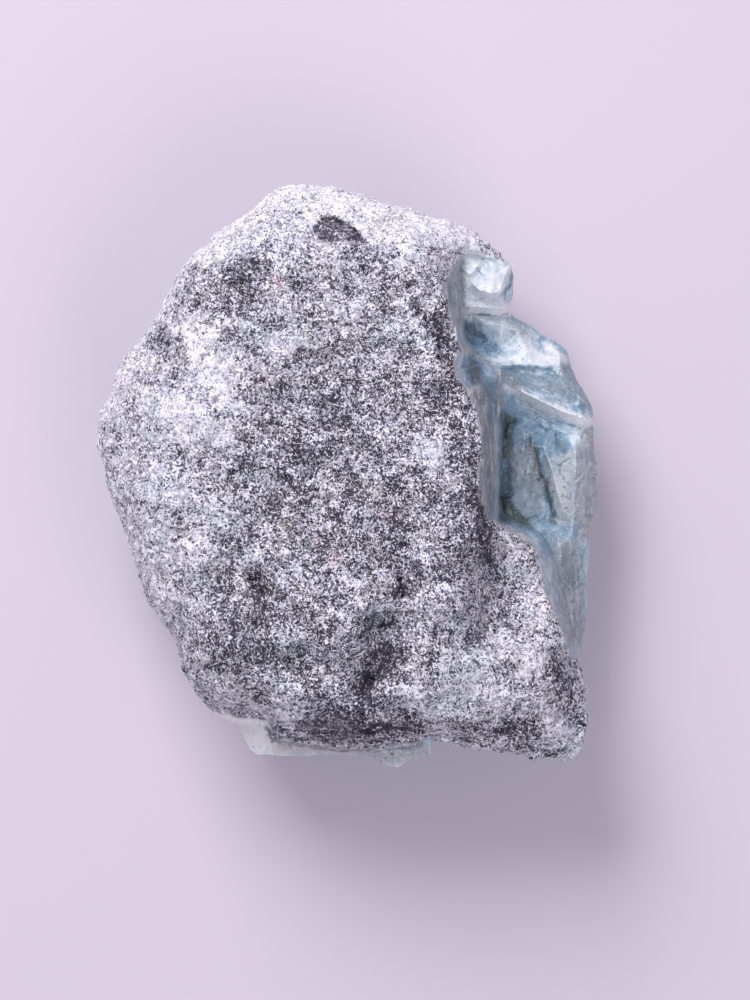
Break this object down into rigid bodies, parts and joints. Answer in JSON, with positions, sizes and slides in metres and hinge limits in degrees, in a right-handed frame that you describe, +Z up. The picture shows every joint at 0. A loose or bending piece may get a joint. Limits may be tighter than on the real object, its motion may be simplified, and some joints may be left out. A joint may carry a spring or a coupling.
{
  "type": "semi-polished larimar",
  "caption": "Palm-sized rough piece of blue larimar under a crust of grey volcanic rock, with a polished underside and a small flat spot to rest on.",
  "frame": {"origin": "middle of the stone's box seen from above, at the height of the flat spot it rests on", "axes": "+Z up out of the rough side, +Y towards the stone's peak along its longest side, +X towards the broken blue edge"},
  "size_m": [0.0512, 0.0596, 0.0253],
  "materials": {
    "stone": "rough grey rock with white needles, dull blue broken faces, glossy blue polished underside"
  },
  "bodies": {
    "root": {"larimar_stone": "stone"}
  },
  "joints": []
}
